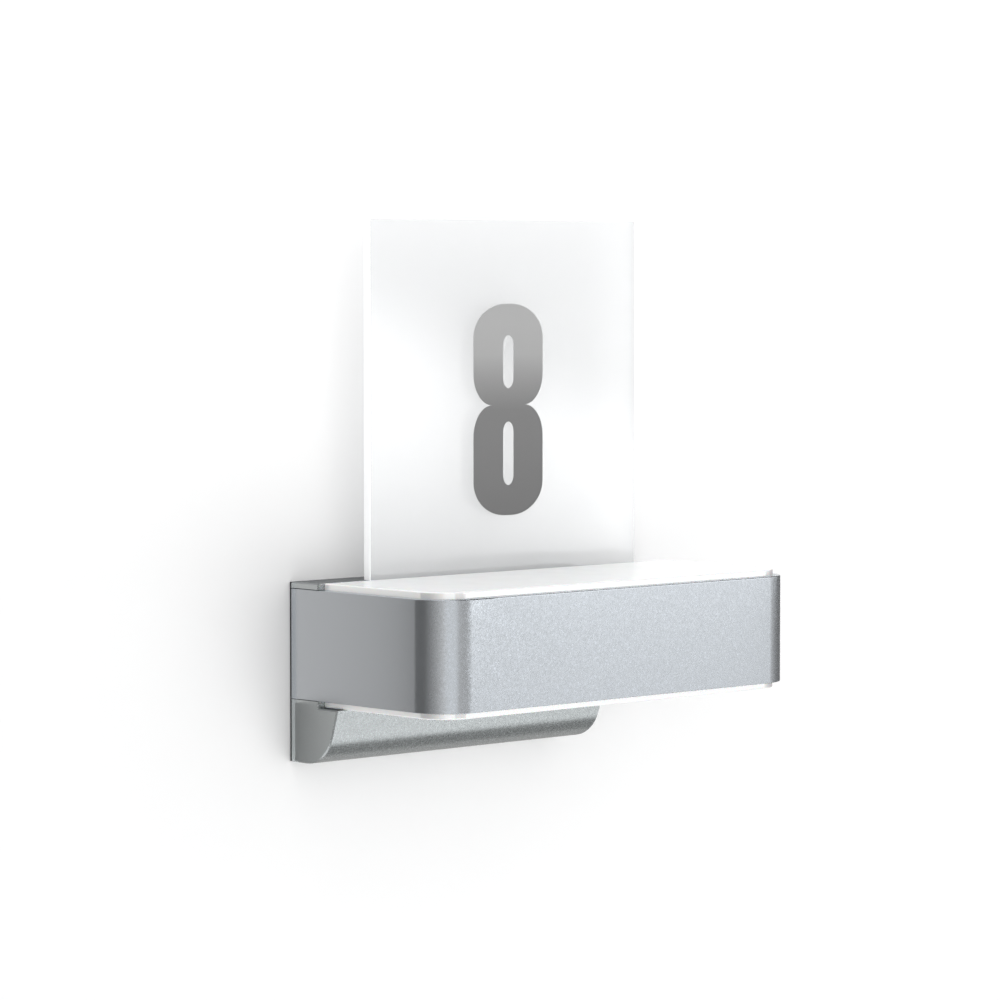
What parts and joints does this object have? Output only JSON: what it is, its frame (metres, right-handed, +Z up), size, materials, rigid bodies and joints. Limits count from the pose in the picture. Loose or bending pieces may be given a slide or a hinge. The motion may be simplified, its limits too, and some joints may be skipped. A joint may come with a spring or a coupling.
{
  "type": "motion sensor light",
  "caption": "House-number wall light: silver band head with opal trays above and below, a clear lift-out number panel behind it, and a wall housing with a motion sensor and setting dials.",
  "frame": {"origin": "on the wall, midway between the two wall screws", "axes": "+X to the right seen from the front, +Y into the wall, +Z up along the number panel's lift"},
  "size_m": [0.23, 0.104, 0.2502],
  "materials": {
    "band_paint": "silver metal-flake powder coat",
    "housing_paint": "silver metal-flake paint on a moulded shell",
    "opal_acrylic": "glossy opal acrylic",
    "clear_acrylic": "polished clear acrylic",
    "grey_moulding": "moulded, fine texture",
    "spreader_metal": "rolled sheet",
    "board_white": "white solder resist",
    "diode": "phosphor gel",
    "board_green": "green solder resist",
    "seal_rubber": "moulded",
    "plate_steel": "zinc plated sheet",
    "fastener_steel": "zinc plated",
    "terminal_moulding": "moulded",
    "ferrite": "sintered ferrite",
    "winding_tape": "yellow insulating tape",
    "capacitor_sleeve": "shrink sleeve",
    "shield_tin": "tinned sheet",
    "potentiometer_blue": "moulded",
    "dial_white": "moulded",
    "figure_foil": "grey film, stuck on",
    "dial_print": "white print"
  },
  "bodies": {
    "base": {"band_screws": "fastener_steel", "cable_grommet": "seal_rubber", "control_board": "board_green", "driver_board": "board_green", "driver_capacitor": "capacitor_sleeve", "driver_choke": "ferrite", "head_band": "band_paint", "head_frame": "grey_moulding", "head_screws": "fastener_steel", "heat_spreader": "spreader_metal", "housing_screws": "fastener_steel", "lead_sleeve": "seal_rubber", "lower_diffuser": "opal_acrylic", "lower_led_board": "board_white", "lower_leds": "diode", "lower_seal": "seal_rubber", "potentiometers": "potentiometer_blue", "sensor_board": "board_green", "sensor_shield": "shield_tin", "spreader_screws": "fastener_steel", "terminal_block": "terminal_moulding", "terminal_screws": "fastener_steel", "transformer_core": "ferrite", "transformer_winding": "winding_tape", "upper_diffuser": "opal_acrylic", "upper_led_board": "board_white", "upper_leds": "diode", "upper_seal": "seal_rubber", "wall_gasket": "seal_rubber", "wall_housing": "housing_paint", "wall_plate": "plate_steel"},
    "number_panel": {"number_panel": "clear_acrylic"},
    "reach_dial": {"reach_dial": "dial_white"},
    "time_dial": {"time_dial": "dial_white"},
    "twilight_dial": {"twilight_dial": "dial_white"}
  },
  "joints": [
    {"name": "panel_lift", "type": "slide", "parent": "base", "child": "number_panel", "axis": [0, 0, 1], "range_m": [0, 0.03]},
    {"name": "reach_turn", "type": "hinge", "parent": "base", "child": "reach_dial", "pos_m": [0.018, -0.009, -0.0409], "axis": [0, 0, 1], "range_deg": [-135, 135]},
    {"name": "time_turn", "type": "hinge", "parent": "base", "child": "time_dial", "pos_m": [0.036, -0.009, -0.0409], "axis": [0, 0, 1], "range_deg": [-135, 135]},
    {"name": "twilight_turn", "type": "hinge", "parent": "base", "child": "twilight_dial", "pos_m": [0.054, -0.009, -0.0409], "axis": [0, 0, 1], "range_deg": [-135, 135]}
  ]
}
